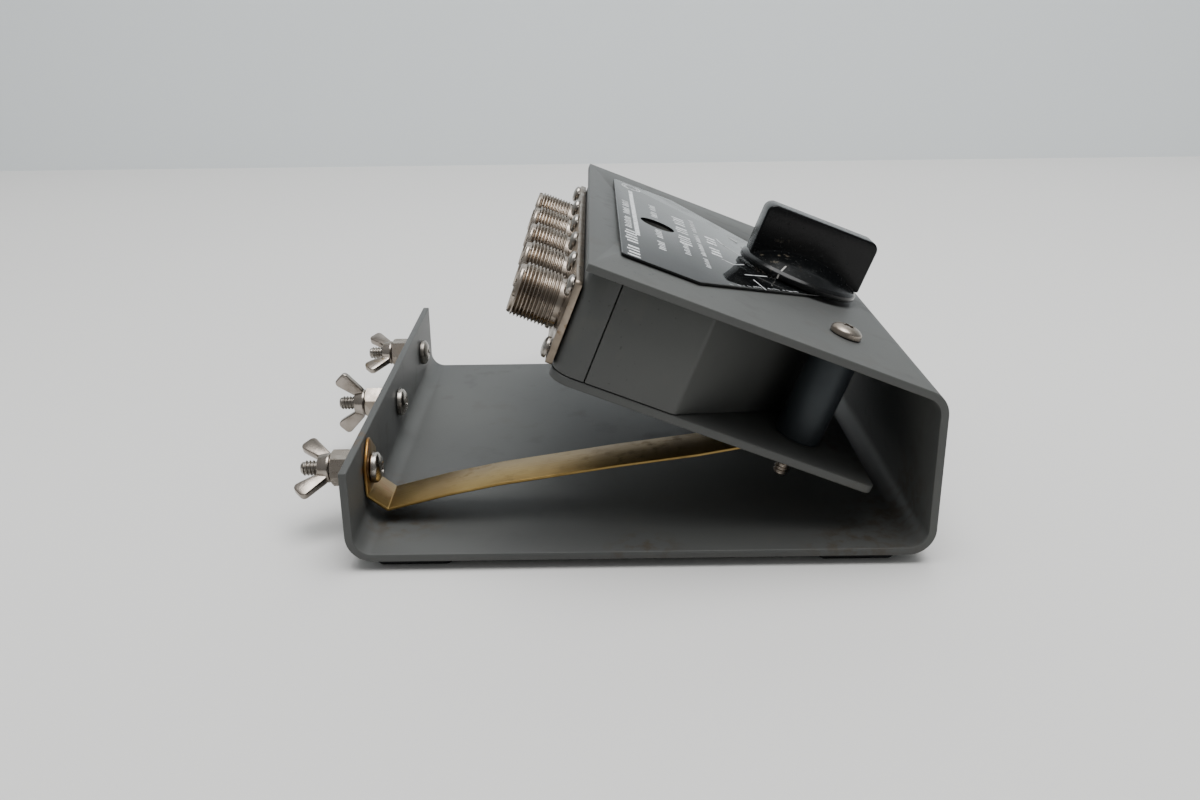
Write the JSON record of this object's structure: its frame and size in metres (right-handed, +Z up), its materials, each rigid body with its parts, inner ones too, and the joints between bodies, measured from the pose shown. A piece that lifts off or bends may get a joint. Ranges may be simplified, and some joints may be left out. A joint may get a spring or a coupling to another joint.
{
  "type": "coaxial antenna switch",
  "caption": "Manual coaxial antenna switch: threaded sockets in a housing under the sloping panel of a folded sheet metal console, with a bar knob and earth terminals.",
  "frame": {"origin": "middle of the bounding box's bottom face, on the desk under the feet", "axes": "+X towards the operator's front wall, +Y along the row of sockets, +Z up"},
  "size_m": [0.1846, 0.165, 0.0879],
  "materials": {
    "paint": "satin grey paint",
    "label": "glossy black",
    "nickel": "nickel plate, slightly tarnished",
    "steel": "dull plate",
    "brass": "tarnished",
    "contact": "plated",
    "insulator": "off white",
    "rubber": "matt black",
    "post": "dark bluish grey",
    "knob": "satin black"
  },
  "bodies": {
    "console": {"console_frame": "paint", "housing_wall": "paint", "connector_end": "paint", "lower_plate": "paint", "label_plate": "label", "connector_bar": "nickel", "bar_screw_top_1": "nickel", "bar_screw_top_2": "nickel", "bar_screw_top_3": "nickel", "bar_screw_top_4": "nickel", "bar_screw_top_5": "nickel", "bar_screw_top_6": "nickel", "bar_screw_bottom_1": "nickel", "bar_screw_bottom_2": "nickel", "bar_screw_bottom_3": "nickel", "bar_screw_bottom_4": "nickel", "bar_screw_bottom_5": "nickel", "bar_screw_bottom_6": "nickel", "socket_shell_1": "nickel", "socket_shell_2": "nickel", "socket_shell_3": "nickel", "socket_shell_4": "nickel", "socket_shell_5": "nickel", "socket_insulator_1": "insulator", "socket_insulator_2": "insulator", "socket_insulator_3": "insulator", "socket_insulator_4": "insulator", "socket_insulator_5": "insulator", "centre_contact_1": "contact", "centre_contact_2": "contact", "centre_contact_3": "contact", "centre_contact_4": "contact", "centre_contact_5": "contact", "terminal_screw_near": "steel", "terminal_screw_middle": "steel", "terminal_screw_far": "steel", "terminal_nut_near": "nickel", "terminal_nut_middle": "nickel", "terminal_nut_far": "nickel", "earth_strap": "brass", "foot_back_near": "rubber", "foot_back_far": "rubber", "foot_front_near": "rubber", "foot_front_far": "rubber", "post_near": "post", "post_far": "post", "post_screw_near": "steel", "post_screw_far": "steel", "post_nut_near": "nickel", "post_nut_far": "nickel", "shaft_bushing": "nickel", "bushing_nut": "nickel", "arrester": "nickel", "arrester_sleeve": "nickel"},
    "knob_and_rotor": {"knob": "knob", "rotor_shaft": "insulator", "rotor_contact": "contact"},
    "wing_near": {"wing_nut_near": "nickel"},
    "wing_middle": {"wing_nut_middle": "nickel"},
    "wing_far": {"wing_nut_far": "nickel"}
  },
  "joints": [
    {"name": "knob_turn", "type": "hinge", "parent": "console", "child": "knob_and_rotor", "pos_m": [0.06394, 0, 0.06113], "axis": [0.3681, 0, 0.9298], "range_deg": [-60, 60]},
    {"name": "wing_nut_turn_near", "type": "hinge", "parent": "console", "child": "wing_near", "pos_m": [-0.0815, -0.055, 0.0199], "axis": [-1, 0, 0], "continuous": true},
    {"name": "wing_nut_turn_middle", "type": "hinge", "parent": "console", "child": "wing_middle", "pos_m": [-0.0815, 0, 0.0199], "axis": [-1, 0, 0], "continuous": true},
    {"name": "wing_nut_turn_far", "type": "hinge", "parent": "console", "child": "wing_far", "pos_m": [-0.0815, 0.055, 0.0199], "axis": [-1, 0, 0], "continuous": true}
  ]
}
